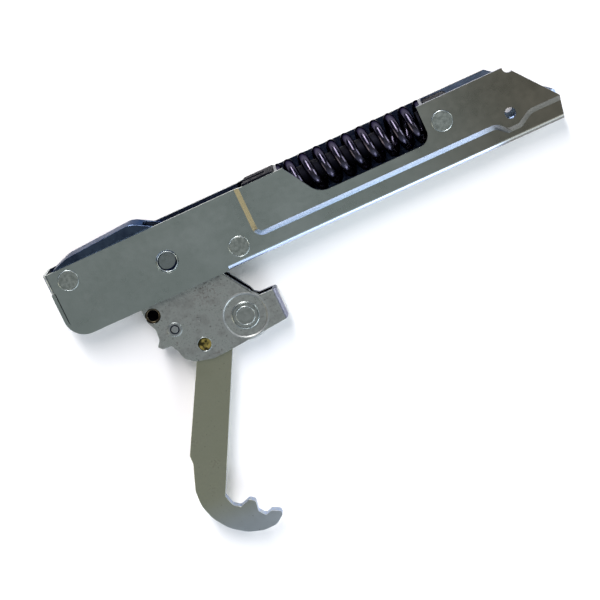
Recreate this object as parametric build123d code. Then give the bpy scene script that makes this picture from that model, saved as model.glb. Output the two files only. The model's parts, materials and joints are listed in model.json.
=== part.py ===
from build123d import *
import math
import os

# Spring-loaded hinge for a drop-down oven door, lying on its side.
# A folded steel arm goes into the door. A claw bracket turns in its lower end on the main pivot.
# A push link carries the bracket's turn to a coil spring in the widened part of the arm.
# All sizes are in millimetres. Places are measured from the main pivot: x runs along the arm towards
# its free end, y runs across it away from the claw, z runs along the pivot from the middle of the arm.
# The last step moves everything so that the door screw hole is the origin and the back wall lies at z = 0.

# Door arm: folded sheet, two walls, a bottom web and an end strip
sheet = 1.5
narrow_gap = 14.0
joggle = 2.5
joggle_slope = 2.3
wall_top = 15.6
wall_bottom = -14.2
arm_left = -50.0
web_start = 22.0
web_bend = 2.3
end_bend = 1.9
end_corner = 7.0
slit_top = 6.9
end_strip_tail = 1.0
claw_slot_width = 10.0
claw_slot_top = 4.0

# Spring bay: the part of the arm that is pushed out beside the spring
bay_left = 37.6
bay_low = -6.6
bay_corner = 4.5
bay_dip_depth = 3.6
bay_dip_half = 8.0
bay_dip_left_radius = 3.0
bay_dip_floor_radius = 2.0
bay_dip_rise_radius = 3.0
bay_dip_right_radius = 4.0

# Window in the front wall that shows the spring, set in from the spring's two ends
window_in_left = 2.7
window_in_right = 1.4
window_low = 0.0
window_lip = 4.0
window_slope = 9.6
window_radius = 8.0
window_right_radius = 5.0

# Free end of the arm, beyond the door screw
end_beyond_screw = 21.2
end_slope_length = 16.0
end_slope_low = -4.3
end_foot_back = 1.9
end_notch_radius = 2.3
end_corner_radius = 0.8
back_slope_length = 23.6

# Cross pins and holes of the arm
stop_pin_at = (-40.8, 9.9)
spacer_pin_at = (29.7, -6.7)
anchor_pin_at = (126.9, 6.05)
door_screw_at = (153.4, -2.6)
door_screw_hole_radius = 2.35
pin_shank_radius = 2.6
stop_head_radius = 4.2
spacer_head_radius = 4.0
anchor_head_radius = 4.2
head_proud = 0.2
head_edge = 0.15
hole_edge = 0.25
stop_sleeve_radius = 3.95
spacer_tube_radius = 4.4

# Main pivot
pivot_radius = 4.0
pivot_recess = 0.8
pivot_wall_hole_radius = 4.55
pivot_edge = 0.3
washer_thickness = 0.8
washer_radius = 7.5

# Pivot saddle: folded sheet that carries the pivot and stop pins inside the arm
saddle_sheet = 1.5
saddle_beyond_stop = 5.6
saddle_right = 8.5
saddle_low = -7.5
saddle_heel_low = 3.0
saddle_waist = -26.0
saddle_shoulder_drop = 0.1
saddle_rise_left = 2.8
saddle_rise_right = 4.7
saddle_top_left_x = -38.0
saddle_top_right_x = -7.5
saddle_roof_end = -3.5
saddle_nose_drop = 4.6
saddle_heel_radius = 2.0
saddle_shoulder_radius = 2.5
saddle_roof_left_radius = 12.0
saddle_roof_right_radius = 8.0
saddle_nose_radius = 3.0
saddle_foot_radius = 6.0
saddle_waist_radius = 8.0
saddle_left_thinning = 0.8
saddle_right_thinning = 0.6

# Claw bracket: folded sheet with two cheeks and one bridge
bracket_sheet = 2.0
bridge_face = 35.8
bridge_bend = 2.0
hub_radius = 9.5
embossed_radius = 9.7
embossed_depth = 0.4
retaining_hole_at = (-16.1, -19.0)
retaining_hole_radius = 3.3
dimple_at = (0.9, -28.2)
dimple_radius = 0.9
dimple_depth = 0.35

# Claw: one thick plate
claw_thickness = 5.0
claw_rivet_at = (19.2, -34.9)
claw_rivet_radius = 3.8
claw_rivet_head_radius = 5.5
claw_rivet_head = 0.6
claw_rivet_core_rise = 0.15
locating_pin_at = (-1.6, -38.9)
locating_pin_radius = 2.9
locating_pin_recess = 1.3
small_rivet_at = (-10.2, -28.0)
small_rivet_radius = 1.45
small_rivet_head_radius = 2.75
small_rivet_head = 0.35
small_rivet_groove = 1.9

# Outline of the bracket's cheeks: corner places, each with its rounding radius
bracket_corners = [
    (-19.8, -9.0, 6.0),
    (-19.3, -20.9, 3.0),
    (-17.5, -25.0, 2.5),
    (-18.0, -29.6, 2.0),
    (-19.9, -32.0, 0.3),
    (-18.4, -33.6, 0.5),
    (-14.3, -33.9, 0.6),
    (-11.8, -41.0, 1.5),
    (-8.4, -44.0, 3.0),
    (-0.5, -46.0, 6.0),
    (7.5, -45.6, 8.0),
    (bridge_face, -43.0, 2.0),
    (bridge_face, -29.6, 0.8),
    (28.0, -29.4, 0.8),
    (26.2, -28.2, 0.6),
    (25.2, -25.6, 0.8),
    (23.6, -23.2, 1.0),
    (18.6, -15.4, 4.0),
    (14.0, -2.0, 6.0),
    (-12.0, 2.0, 4.0),
]

# Outline of the claw: broad head between the cheeks, straight shaft and toothed hook
claw_corners = [
    (-7.8, -44.1, 0),
    (-9.6, -39.6, 3.0),
    (-13.2, -31.0, 3.0),
    (-13.6, -24.6, 2.0),
    (-6.0, -19.8, 4.0),
    (11.0, -20.4, 5.0),
    (25.0, -29.4, 4.0),
    (27.0, -41.6, 4.0),
    (8.2, -45.4, 3.0),
    (-22.3, -102.9, 0),
    (-21.1, -107.7, 2.5),
    (-18.2, -109.9, 1.6),
    (-13.5, -108.4, 1.3),
    (-11.4, -110.1, 1.2),
    (-12.2, -114.7, 1.8),
    (-9.9, -117.8, 1.6),
    (-7.1, -116.6, 1.0),
    (-3.2, -118.5, 1.6),
    (-3.5, -120.4, 1.0),
    (-7.4, -123.3, 5.0),
    (-13.5, -123.4, 9.0),
    (-20.2, -121.3, 14.0),
    (-26.7, -116.5, 16.0),
    (-31.3, -109.8, 16.0),
    (-33.4, -102.5, 14.0),
    (-32.9, -95.6, 5.0),
    (-28.6, -84.4, 3.0),
    (-28.4, -80.5, 1.0),
]

# Motion: the bracket turns clockwise seen from the front, from closed to fully open
opening_angle = 80.0
link_pin_reach = 12.0
link_pin_radius = 2.0
link_pin_wall = 1.6
link_ear_left = 3.0
link_ear_right = 6.0
link_ear_foot = -2.0
link_ear_shoulder = (2.4, 2.6)

# Push link
link_thickness = 4.4
link_half_height = 3.1
link_eye_wall = 1.8
link_slot_play = 0.1
link_eye_corner = 1.0
link_neck_low = 4.0
link_neck_high = 8.0
link_neck_radius = 6.0
link_eye_shoulder = 3.0
link_rounding = 0.9

# Spring line
spring_axis_y = 8.0
spring_outer_radius = 9.0
wire_radius = 2.0
spring_pitch = 6.5
seat_washer_thickness = 1.2
seat_washer_inset = 0.4
seat_length = 14.9
seat_top = 16.3
seat_low = -2.0
seat_corner = 1.5
seat_pin_setback = 5.6
seat_pin_radius = 2.0
seat_slot_depth = 10.5
guide_rod_radius = 4.25
guide_rod_socket = 3.6
guide_rod_tip = 1.0
guide_rod_gap = 0.6
spigot_radius = 4.6
spigot_length = 3.0
spigot_root = 0.5
end_seat_before_pin = 4.7
end_seat_behind_pin = 6.1
end_seat_top = 15.0
end_seat_low = 0.5
end_seat_corner = 2.0

# Clearances
press_fit = 0.02
running_fit = 0.05
side_clearance = 0.3
stop_clearance = 0.3

# Worked-out sizes
narrow_half = narrow_gap / 2
narrow_outer = narrow_half + sheet
wide_half = narrow_half + joggle
wide_outer = narrow_outer + joggle
slope_angle = math.degrees(math.atan2(joggle, joggle_slope))
slope_shift = sheet * math.tan(math.radians(slope_angle / 2))
cheek_inner = narrow_half - saddle_sheet
bracket_inner = claw_thickness / 2
bracket_outer = bracket_inner + bracket_sheet
link_half = link_thickness / 2
spring_mean_radius = spring_outer_radius - wire_radius
seat_washer_radius = spring_outer_radius - seat_washer_inset

# How far cutters reach: past a face that they open, and past everything
overcut = 1.0
far = 60.0

half_turn = opening_angle / 2
link_stroke = 2 * link_pin_reach * math.sin(math.radians(half_turn))
link_pin_at = (
    -link_pin_reach * math.sin(math.radians(half_turn)),
    link_pin_reach * math.cos(math.radians(half_turn)),
)
link_rise = link_pin_reach - link_pin_at[1]
link_eye_y = link_pin_at[1] + link_rise / 2

moving_seat_left = bay_left + slope_shift + joggle_slope + side_clearance
moving_seat_right = moving_seat_left + seat_length
seat_half = wide_half - side_clearance
seat_pin_at = (moving_seat_left + seat_pin_setback, spring_axis_y)
end_seat_left = anchor_pin_at[0] - end_seat_before_pin
end_seat_right = anchor_pin_at[0] + end_seat_behind_pin
spring_left = moving_seat_right + seat_washer_thickness
spring_right = end_seat_left - seat_washer_thickness
guide_rod_end = spring_right - spigot_length - link_stroke - guide_rod_gap

window_left = spring_left + window_in_left
window_right = spring_right - window_in_right
arm_right = door_screw_at[0] + end_beyond_screw
end_foot = arm_right - end_foot_back
end_slope_start = arm_right - end_slope_length
back_slope_start = arm_right - back_slope_length

saddle_left = stop_pin_at[0] - saddle_beyond_stop
saddle_shoulder = wall_top - saddle_shoulder_drop
saddle_nose = wall_top - saddle_nose_drop
saddle_top_left = (saddle_top_left_x, wall_top + saddle_rise_left)
saddle_top_right = (saddle_top_right_x, wall_top + saddle_rise_right)


def outline(corners):
    """Flat face inside a closed outline, given as corner points with a rounding radius each."""
    points = [(x, y) for x, y, radius in corners]
    edges = []
    count = len(corners)
    tangents = []
    for index in range(count):
        before = Vector(*points[index - 1])
        here = Vector(*points[index])
        after = Vector(*points[(index + 1) % count])
        to_before = (before - here).normalized()
        to_after = (after - here).normalized()
        inside_angle = math.radians(to_before.get_angle(to_after))
        radius = corners[index][2]
        if radius == 0:
            tangents.append((here, None, here))
            continue
        reach = radius / math.tan(inside_angle / 2)
        middle = (to_before + to_after).normalized()
        bulge = radius / math.sin(inside_angle / 2) - radius
        tangents.append((here + to_before * reach, here + middle * bulge, here + to_after * reach))
    for index in range(count):
        start, bulge_point, end = tangents[index]
        if bulge_point is not None:
            edges.append(ThreePointArc(start, bulge_point, end))
        following = tangents[(index + 1) % count][0]
        if (following - end).length > 1e-6:
            edges.append(Line(end, following))
    return make_face(Wire(edges))


def plate(corners, low, high):
    """Solid between two z levels with the given outline."""
    return extrude(Pos(0, 0, low) * outline(corners), amount=high - low)


def block(x_low, x_high, y_low, y_high, z_low, z_high):
    """Rectangular solid between the given limits."""
    size = (x_high - x_low, y_high - y_low, z_high - z_low)
    middle = ((x_low + x_high) / 2, (y_low + y_high) / 2, (z_low + z_high) / 2)
    return Pos(*middle) * Box(*size)


def post(at, radius, low, high):
    """Round solid along z at a place in the arm's plane."""
    return Pos(at[0], at[1], (low + high) / 2) * Cylinder(radius, high - low)


def edged_hole(at, radius, outer_half):
    """Cutter for a hole through both walls, with a broken edge on the front wall's outside."""
    edge = Pos(at[0], at[1], outer_half - hole_edge / 2) * Cone(radius, radius + hole_edge, hole_edge)
    return post(at, radius, -far, far) + edge


def bar_along_x(radius, x_low, x_high):
    """Round solid along x on the spring's axis."""
    middle = Pos((x_low + x_high) / 2, spring_axis_y, 0)
    return middle * Rot(0, 90, 0) * Cylinder(radius, x_high - x_low)


def both_sides(solid):
    """A solid with its mirror image on the other side of the arm's middle plane."""
    return [solid, mirror(solid, about=Plane.XY)]


def bay_outline():
    """Outline of the pushed-out bay, taken past the open top and the free end."""
    dip_x = door_screw_at[0]
    dip_low = bay_low - bay_dip_depth
    beyond = arm_right + far
    return [
        (bay_left, far, 0),
        (bay_left, bay_low, bay_corner),
        (dip_x - bay_dip_half, bay_low, bay_dip_left_radius),
        (dip_x - bay_dip_half / 2, dip_low, bay_dip_floor_radius),
        (dip_x + bay_dip_half / 4, dip_low, bay_dip_rise_radius),
        (dip_x + bay_dip_half, bay_low, bay_dip_right_radius),
        (beyond, bay_low, 0),
        (beyond, far, 0),
    ]


def bay_solid(start_z, shift):
    """Tapered solid of the bay on the front side, from a wall's face to the pushed-out level."""
    base = outline(bay_outline())
    if shift > 0:
        base = offset(base, -shift, kind=Kind.INTERSECTION)
    narrowed = offset(base, -joggle_slope, kind=Kind.INTERSECTION)
    low = Pos(0, 0, start_z) * base
    high = Pos(0, 0, start_z + joggle) * narrowed
    return loft([low, high], ruled=True)


def arm_section():
    """Folded section of the arm beside the spring: two walls joined by the bottom web."""
    length = arm_right + far - web_start
    outer = [
        (-narrow_outer, far, 0),
        (-narrow_outer, wall_bottom, web_bend),
        (narrow_outer, wall_bottom, web_bend),
        (narrow_outer, far, 0),
    ]
    inner_bend = web_bend - sheet
    inner = [
        (-narrow_half, far + overcut, 0),
        (-narrow_half, wall_bottom + sheet, inner_bend),
        (narrow_half, wall_bottom + sheet, inner_bend),
        (narrow_half, far + overcut, 0),
    ]
    across = Plane(origin=(web_start, 0, 0), x_dir=(0, 0, 1), z_dir=(-1, 0, 0))
    outer_solid = extrude(across * outline(outer), amount=-length)
    inner_solid = extrude(across * outline(inner), amount=-length)
    for solid in both_sides(bay_solid(narrow_outer, 0)):
        outer_solid += solid
    for solid in both_sides(bay_solid(narrow_half, slope_shift)):
        inner_solid += solid
    return outer_solid - inner_solid


def wall_outline(slope_start):
    """Outline of one wall beside the spring, up to the slanted free end."""
    return [
        (web_start, wall_bottom - overcut, 0),
        (end_foot, wall_bottom - overcut, 0),
        (end_foot, wall_bottom, 0),
        (arm_right, end_slope_low, end_corner_radius),
        (slope_start, wall_top, end_corner_radius),
        (web_start, wall_top, 0),
    ]


def spring_window():
    """Cutter for the window in the front wall."""
    corners = [
        (window_left - window_lip, far, 0),
        (window_left, wall_top, 0),
        (window_left + window_slope, window_low, window_radius),
        (window_right, window_low, window_right_radius),
        (window_right, far, 0),
    ]
    return plate(corners, 0, far)


def pivot_end_walls():
    """Plain walls around the pivot, open at the bottom for the claw bracket."""
    corners = [
        (web_start, wall_top, 0),
        (arm_left + end_bend, wall_top, 0),
        (arm_left + end_bend, wall_bottom, end_corner),
        (web_start, wall_bottom, 0),
    ]
    return both_sides(plate(corners, narrow_half, narrow_outer))


def end_strip():
    """Strip that closes the pivot end, bent round with the corner of the walls and slotted for the claw."""
    outer_corner = end_corner + end_bend
    inner_corner = outer_corner - sheet
    tail = arm_left + outer_corner + end_strip_tail
    outer = [
        (arm_left, slit_top, 0),
        (arm_left, wall_bottom, outer_corner),
        (tail, wall_bottom, 0),
        (tail, slit_top, 0),
    ]
    inner = [
        (arm_left + sheet, slit_top + overcut, 0),
        (arm_left + sheet, wall_bottom + sheet, inner_corner),
        (tail + overcut, wall_bottom + sheet, 0),
        (tail + overcut, slit_top + overcut, 0),
    ]
    lower = plate(outer, -narrow_outer, narrow_outer) - plate(inner, -far, far)
    upper = block(arm_left, arm_left + sheet + end_bend, slit_top, wall_top, -narrow_outer, narrow_outer)
    bends = upper.edges().filter_by(Axis.Y).group_by(Axis.X)[0]
    upper = fillet(bends, end_bend)
    upper -= block(arm_left + sheet, 0, slit_top, wall_top, -narrow_half, narrow_half)
    slot_half = claw_slot_width / 2
    low = wall_bottom - overcut
    slot = block(arm_left - overcut, tail + overcut, low, claw_slot_top, -slot_half, slot_half)
    return lower + upper - slot


def make_door_channel():
    """The door arm: one folded sheet with its pin holes, screw hole and end notch."""
    section = arm_section()
    front = section & plate(wall_outline(end_slope_start), 0, far)
    back = section & plate(wall_outline(back_slope_start), -far, 0)
    front -= spring_window()
    arm = front + back
    for wall in pivot_end_walls():
        arm += wall
    arm += end_strip()
    notch_at = (end_slope_start + end_notch_radius / 2, wall_top - end_notch_radius / 4)
    arm -= post(notch_at, end_notch_radius, 0, far)
    arm -= post(door_screw_at, door_screw_hole_radius, -far, far)
    arm -= edged_hole((0, 0), pivot_wall_hole_radius, narrow_outer)
    arm -= edged_hole(stop_pin_at, stop_head_radius, narrow_outer)
    arm -= edged_hole(spacer_pin_at, spacer_head_radius, narrow_outer)
    arm -= edged_hole(anchor_pin_at, anchor_head_radius, wide_outer)
    return arm


def saddle_outline():
    """Side outline of the saddle."""
    return [
        (saddle_left, saddle_heel_low, saddle_heel_radius),
        (saddle_left, saddle_shoulder, saddle_shoulder_radius),
        (*saddle_top_left, saddle_roof_left_radius),
        (*saddle_top_right, saddle_roof_right_radius),
        (saddle_right, saddle_nose, saddle_nose_radius),
        (saddle_right, saddle_low, saddle_foot_radius),
        (-saddle_right, saddle_low, saddle_foot_radius),
        (saddle_waist, saddle_heel_low, saddle_waist_radius),
    ]


def make_pivot_saddle():
    """Folded saddle: two cheeks against the walls, joined by a roof over the bracket's shoulder."""
    saddle = plate(saddle_outline(), -narrow_half, narrow_half)
    roof_thickness = saddle_sheet / math.cos(math.atan2(
        saddle_top_right[1] - saddle_nose, saddle_right - saddle_top_right[0]))
    under_roof = [
        (saddle_left - overcut, saddle_low - overcut, 0),
        (saddle_left - overcut, saddle_shoulder - roof_thickness - saddle_left_thinning, 0),
        (saddle_top_left[0], saddle_top_left[1] - roof_thickness, saddle_roof_left_radius),
        (saddle_top_right[0], saddle_top_right[1] - roof_thickness, saddle_roof_right_radius),
        (saddle_right + overcut, saddle_nose - roof_thickness - saddle_right_thinning, 0),
        (saddle_right + overcut, saddle_low - overcut, 0),
    ]
    saddle -= plate(under_roof, -cheek_inner, cheek_inner)
    saddle -= block(saddle_roof_end, far, saddle_low - overcut, far, -cheek_inner, cheek_inner)
    saddle -= post((0, 0), pivot_radius + press_fit, -far, far)
    saddle -= post(stop_pin_at, pin_shank_radius + press_fit, -far, far)
    return saddle


def make_main_pivot_pin():
    """Main pivot pin, its ends sunk a little below the outside of the walls."""
    reach = narrow_outer - pivot_recess
    pin = post((0, 0), pivot_radius, -reach, reach)
    ends = pin.edges().filter_by(GeomType.CIRCLE)
    return chamfer(ends, pivot_edge)


def make_pivot_washers():
    """Thin washers between the saddle's cheeks and the turning bracket."""
    ring = post((0, 0), washer_radius, cheek_inner - washer_thickness, cheek_inner)
    ring -= post((0, 0), pivot_radius + running_fit, 0, far)
    return Compound(children=both_sides(ring))


def flush_pin(at, head_radius, half_gap, outer_half):
    """Cross pin with a shank between the walls and a riveted head flush in each wall."""
    pin = post(at, pin_shank_radius, -half_gap, half_gap)
    front_head = post(at, head_radius - press_fit, half_gap, outer_half + head_proud)
    rim = front_head.edges().filter_by(GeomType.CIRCLE).sort_by(Axis.Z)[-1:]
    front_head = fillet(rim, head_edge)
    back_head = post(at, head_radius - press_fit, -outer_half, -half_gap)
    return pin + front_head + back_head


def sleeve(at, radius, half_length):
    """Round tube on a pin's shank."""
    tube = post(at, radius, -half_length, half_length)
    return tube - post(at, pin_shank_radius + running_fit, -far, far)


def fold(face, half_width, bend):
    """Slab along y whose end at the given x has both corners rounded, like the fold of a sheet."""
    corners = [
        (-far, -half_width, 0),
        (face, -half_width, bend),
        (face, half_width, bend),
        (-far, half_width, 0),
    ]
    across = Plane(origin=(0, -far, 0), x_dir=(1, 0, 0), z_dir=(0, 1, 0))
    return extrude(across * outline(corners), amount=2 * far)


def stop_notch():
    """Where the stop sleeve sits in the bracket's own frame when the door is fully open."""
    turn = math.radians(opening_angle)
    x, y = stop_pin_at
    return (x * math.cos(turn) - y * math.sin(turn), x * math.sin(turn) + y * math.cos(turn))


def make_claw_bracket():
    """Claw bracket: two cheeks and a bridge, folded from one sheet."""
    ear = outline([
        (link_pin_at[0] - link_ear_left, link_ear_foot, 0),
        (link_pin_at[0] - link_pin_radius - link_pin_wall, link_pin_at[1], 0),
        (link_pin_at[0] + link_ear_shoulder[0], link_pin_at[1] + link_ear_shoulder[1], 0),
        (link_ear_right, link_ear_right, 0),
        (link_ear_right, link_ear_foot, 0),
    ])
    cheeks = plate(bracket_corners, -bracket_outer, bracket_outer)
    cheeks += post((0, 0), hub_radius, -bracket_outer, bracket_outer)
    cheeks += post(link_pin_at, link_pin_radius + link_pin_wall, -bracket_outer, bracket_outer)
    cheeks += extrude(Pos(0, 0, -bracket_outer) * ear, amount=2 * bracket_outer)
    cheeks &= fold(bridge_face, bracket_outer, bridge_bend + bracket_sheet / 4)
    cheeks -= fold(bridge_face - bracket_sheet, bracket_inner, bracket_sheet / 4)
    cheeks -= post(stop_notch(), stop_sleeve_radius + stop_clearance, -far, far)
    cheeks -= post((0, 0), pivot_radius + running_fit, -far, far)
    cheeks -= post(link_pin_at, link_pin_radius + press_fit, -far, far)
    cheeks -= post(retaining_hole_at, retaining_hole_radius, 0, far)
    cheeks -= post(locating_pin_at, locating_pin_radius + running_fit, -far, far)
    cheeks -= post(small_rivet_at, small_rivet_radius + press_fit, -far, far)
    cheeks -= post(claw_rivet_at, claw_rivet_radius + press_fit, -far, far)
    for recess in both_sides(post(claw_rivet_at, embossed_radius, bracket_outer - embossed_depth, far)):
        cheeks -= recess
    cheeks -= post(dimple_at, dimple_radius, bracket_outer - dimple_depth, far)
    return cheeks


def make_claw():
    """The claw, with holes for its three fixings."""
    claw = plate(claw_corners, -bracket_inner, bracket_inner)
    claw -= post(claw_rivet_at, claw_rivet_radius + press_fit, -far, far)
    claw -= post(locating_pin_at, locating_pin_radius + press_fit, -far, far)
    claw -= post(small_rivet_at, small_rivet_radius + press_fit, -far, far)
    return claw


def make_claw_rivet():
    """Big rivet through the cheeks and the claw, its heads lying in the embossed discs."""
    floor = bracket_outer - embossed_depth
    core = floor + claw_rivet_head + claw_rivet_core_rise
    rivet = post(claw_rivet_at, claw_rivet_radius, -core, core)
    head = post(claw_rivet_at, claw_rivet_head_radius, floor, floor + claw_rivet_head)
    rim = head.edges().filter_by(GeomType.CIRCLE).sort_by(Axis.Z)[-1:]
    head = fillet(rim, claw_rivet_head / 2)
    for side in both_sides(head):
        rivet += side
    return rivet


def make_locating_pin():
    """Plain pin through the claw, its ends sunk in the cheeks' holes."""
    reach = bracket_outer - locating_pin_recess
    return post(locating_pin_at, locating_pin_radius, -reach, reach)


def make_small_rivet():
    """Small rivet with a thin ring head on each cheek."""
    top = bracket_outer + small_rivet_head
    rivet = post(small_rivet_at, small_rivet_radius, -top, top)
    head = post(small_rivet_at, small_rivet_head_radius, bracket_outer, top)
    groove = post(small_rivet_at, small_rivet_groove, bracket_outer + small_rivet_head / 2, far)
    groove -= post(small_rivet_at, small_rivet_radius, 0, far)
    for side in both_sides(head - groove):
        rivet += side
    return rivet


def make_link_pin():
    """Pin between the cheeks that drives the push link."""
    return post(link_pin_at, link_pin_radius, -bracket_outer, bracket_outer)


def link_slot_half_sizes():
    """Half width and half height of the slot that takes up what a straight slide leaves over."""
    turn = math.radians(half_turn)
    rate = math.sin(turn) / turn
    worst = math.acos(rate)
    lag = link_pin_reach * (math.sin(worst) - rate * worst)
    width = link_pin_radius + lag + link_slot_play
    height = link_pin_radius + link_rise / 2 + link_slot_play
    return width, height


def make_push_link():
    """Flat link from the bracket's pin to the moving spring seat."""
    width, height = link_slot_half_sizes()
    eye_x = link_pin_at[0]
    wall = link_eye_wall
    end_round = link_half_height * link_rounding
    eye = [
        (eye_x - width - wall, link_eye_y - height - wall, wall + link_eye_corner),
        (eye_x + width + wall, link_eye_y - height - wall, 0),
        (eye_x + width + wall + link_neck_low, spring_axis_y - link_half_height, 0),
        (seat_pin_at[0] + link_half_height, spring_axis_y - link_half_height, end_round),
        (seat_pin_at[0] + link_half_height, spring_axis_y + link_half_height, end_round),
        (eye_x + width + wall + link_neck_high, spring_axis_y + link_half_height, link_neck_radius),
        (eye_x + width + wall, link_eye_y + height + wall, link_eye_shoulder),
        (eye_x - width - wall, link_eye_y + height + wall, wall + link_eye_corner),
    ]
    link = plate(eye, -link_half, link_half)
    slot_round = width * link_rounding
    slot = [
        (eye_x - width, link_eye_y - height, slot_round),
        (eye_x + width, link_eye_y - height, slot_round),
        (eye_x + width, link_eye_y + height, slot_round),
        (eye_x - width, link_eye_y + height, slot_round),
    ]
    link -= plate(slot, -far, far)
    link -= post(seat_pin_at, seat_pin_radius + running_fit, -far, far)
    return link


def make_seat_pin():
    """Pin that joins the push link to the moving spring seat."""
    return post(seat_pin_at, seat_pin_radius, -seat_half + side_clearance, seat_half - side_clearance)


def make_moving_spring_seat():
    """Moving spring seat: a block that slides between the walls of the spring bay."""
    corners = [
        (moving_seat_left, seat_low, seat_corner),
        (moving_seat_right, seat_low, seat_corner),
        (moving_seat_right, seat_top, seat_corner),
        (moving_seat_left, seat_top, seat_corner),
    ]
    seat = plate(corners, -seat_half, seat_half)
    slot_half = link_half + running_fit
    slot_end = moving_seat_left + seat_slot_depth
    seat -= block(-far, slot_end, seat_low - overcut, far, -slot_half, slot_half)
    seat -= post(seat_pin_at, seat_pin_radius + press_fit, -far, far)
    seat -= bar_along_x(guide_rod_radius + press_fit, moving_seat_right - guide_rod_socket, spring_right)
    return seat


def make_spring_guide_rod():
    """Guide rod inside the spring, set in the moving seat."""
    rod = bar_along_x(guide_rod_radius, moving_seat_right - guide_rod_socket, guide_rod_end)
    tip = rod.edges().filter_by(GeomType.CIRCLE).sort_by(Axis.X)[-1:]
    return chamfer(tip, guide_rod_tip)


def seat_washer(x_low, hole_radius):
    """Flat washer between a spring seat and the spring."""
    washer = bar_along_x(seat_washer_radius, x_low, x_low + seat_washer_thickness)
    return washer - bar_along_x(hole_radius, x_low - overcut, x_low + seat_washer_thickness + overcut)


def make_end_spring_seat():
    """Fixed spring seat on the anchor pin, with a spigot that centres the spring."""
    corners = [
        (end_seat_left, end_seat_low, end_seat_corner / 2),
        (end_seat_right, end_seat_low, end_seat_corner),
        (end_seat_right, end_seat_top, end_seat_corner),
        (end_seat_left, end_seat_top, end_seat_corner / 2),
    ]
    seat = plate(corners, -seat_half, seat_half)
    seat += bar_along_x(spigot_radius, spring_right - spigot_length, end_seat_left + spigot_root)
    seat -= post(anchor_pin_at, pin_shank_radius + running_fit, -far, far)
    return seat


def make_spring():
    """Compression spring of round wire, wound half a turn at a time, with both ends ground flat."""
    rise = spring_pitch / 2
    path = Helix(pitch=spring_pitch, height=rise, radius=spring_mean_radius)
    section = Plane(origin=path @ 0, z_dir=path % 0) * Circle(wire_radius)
    half_winding = sweep(section, path=path, is_frenet=True)
    count = math.ceil((spring_right - spring_left) / rise) + 3
    windings = [Pos(0, 0, rise * turn) * Rot(0, 0, 180 * turn) * half_winding for turn in range(count)]
    coil = windings[0].fuse(*windings[1:])
    coil = Pos(spring_left - rise, spring_axis_y, 0) * Rot(0, 90, 0) * coil
    size = 3 * spring_outer_radius
    keep = block(spring_left, spring_right, spring_axis_y - size, spring_axis_y + size, -size, size)
    return coil & keep


def write(name, shape):
    """Move a piece to the hand-in frame and write it."""
    place = Pos(-door_screw_at[0], -door_screw_at[1], wide_outer)
    placed = place * shape
    placed.label = name
    export_step(placed, os.path.join("parts", name + ".step"))


def main():
    """Make every piece and write each to its own file."""
    os.makedirs("parts", exist_ok=True)
    pieces = {
        "door_channel": make_door_channel(),
        "pivot_saddle": make_pivot_saddle(),
        "main_pivot_pin": make_main_pivot_pin(),
        "pivot_washers": make_pivot_washers(),
        "open_stop_pin": flush_pin(stop_pin_at, stop_head_radius, narrow_half, narrow_outer),
        "open_stop_sleeve": sleeve(stop_pin_at, stop_sleeve_radius, cheek_inner),
        "spacer_pin": flush_pin(spacer_pin_at, spacer_head_radius, narrow_half, narrow_outer),
        "spacer_tube": sleeve(spacer_pin_at, spacer_tube_radius, narrow_half),
        "spring_anchor_pin": flush_pin(anchor_pin_at, anchor_head_radius, wide_half, wide_outer),
        "end_spring_seat": make_end_spring_seat(),
        "end_seat_washer": seat_washer(spring_right, spigot_radius + running_fit),
        "spring": make_spring(),
        "claw_bracket": make_claw_bracket(),
        "claw": make_claw(),
        "claw_rivet": make_claw_rivet(),
        "claw_locating_pin": make_locating_pin(),
        "claw_small_rivet": make_small_rivet(),
        "link_pin": make_link_pin(),
        "push_link": make_push_link(),
        "seat_pin": make_seat_pin(),
        "moving_spring_seat": make_moving_spring_seat(),
        "moving_seat_washer": seat_washer(moving_seat_right, guide_rod_radius + running_fit),
        "spring_guide_rod": make_spring_guide_rod(),
    }
    for name, shape in pieces.items():
        write(name, shape)


main()
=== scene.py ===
"""Looks of a spring-loaded hinge for a drop-down oven door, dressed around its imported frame.

Lengths that describe the hinge are written in millimetres from the main pivot, x along the arm,
y across it and z along the pivot, and are turned into the frame's metres by Place.
"""

from __future__ import annotations

import json
import logging
import math
from dataclasses import dataclass, field
from enum import Enum

import bmesh
import bpy
from mathutils import Matrix, Vector


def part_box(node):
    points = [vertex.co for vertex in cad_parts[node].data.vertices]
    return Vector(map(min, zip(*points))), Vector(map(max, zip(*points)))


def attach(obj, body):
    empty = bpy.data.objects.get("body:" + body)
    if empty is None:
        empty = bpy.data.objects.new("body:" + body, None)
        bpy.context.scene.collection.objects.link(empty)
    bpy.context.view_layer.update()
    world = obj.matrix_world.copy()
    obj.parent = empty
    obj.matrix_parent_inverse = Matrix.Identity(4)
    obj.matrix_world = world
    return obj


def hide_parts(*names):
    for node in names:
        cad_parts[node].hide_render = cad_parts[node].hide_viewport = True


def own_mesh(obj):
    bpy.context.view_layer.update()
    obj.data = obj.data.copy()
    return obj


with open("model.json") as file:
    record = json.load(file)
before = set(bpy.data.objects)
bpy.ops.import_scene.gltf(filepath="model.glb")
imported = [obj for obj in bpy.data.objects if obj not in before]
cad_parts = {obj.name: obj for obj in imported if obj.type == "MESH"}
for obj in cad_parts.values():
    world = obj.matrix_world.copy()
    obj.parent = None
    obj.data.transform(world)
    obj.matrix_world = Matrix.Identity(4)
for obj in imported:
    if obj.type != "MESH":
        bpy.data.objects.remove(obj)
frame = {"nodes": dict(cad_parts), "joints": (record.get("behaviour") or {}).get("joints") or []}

LOG = logging.getLogger("hinge")
MM = 0.001

Tone = tuple[float, float, float, float]
Span = tuple[float, float]
Triple = tuple[float, float, float]
ANY: Span = (-math.inf, math.inf)


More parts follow.
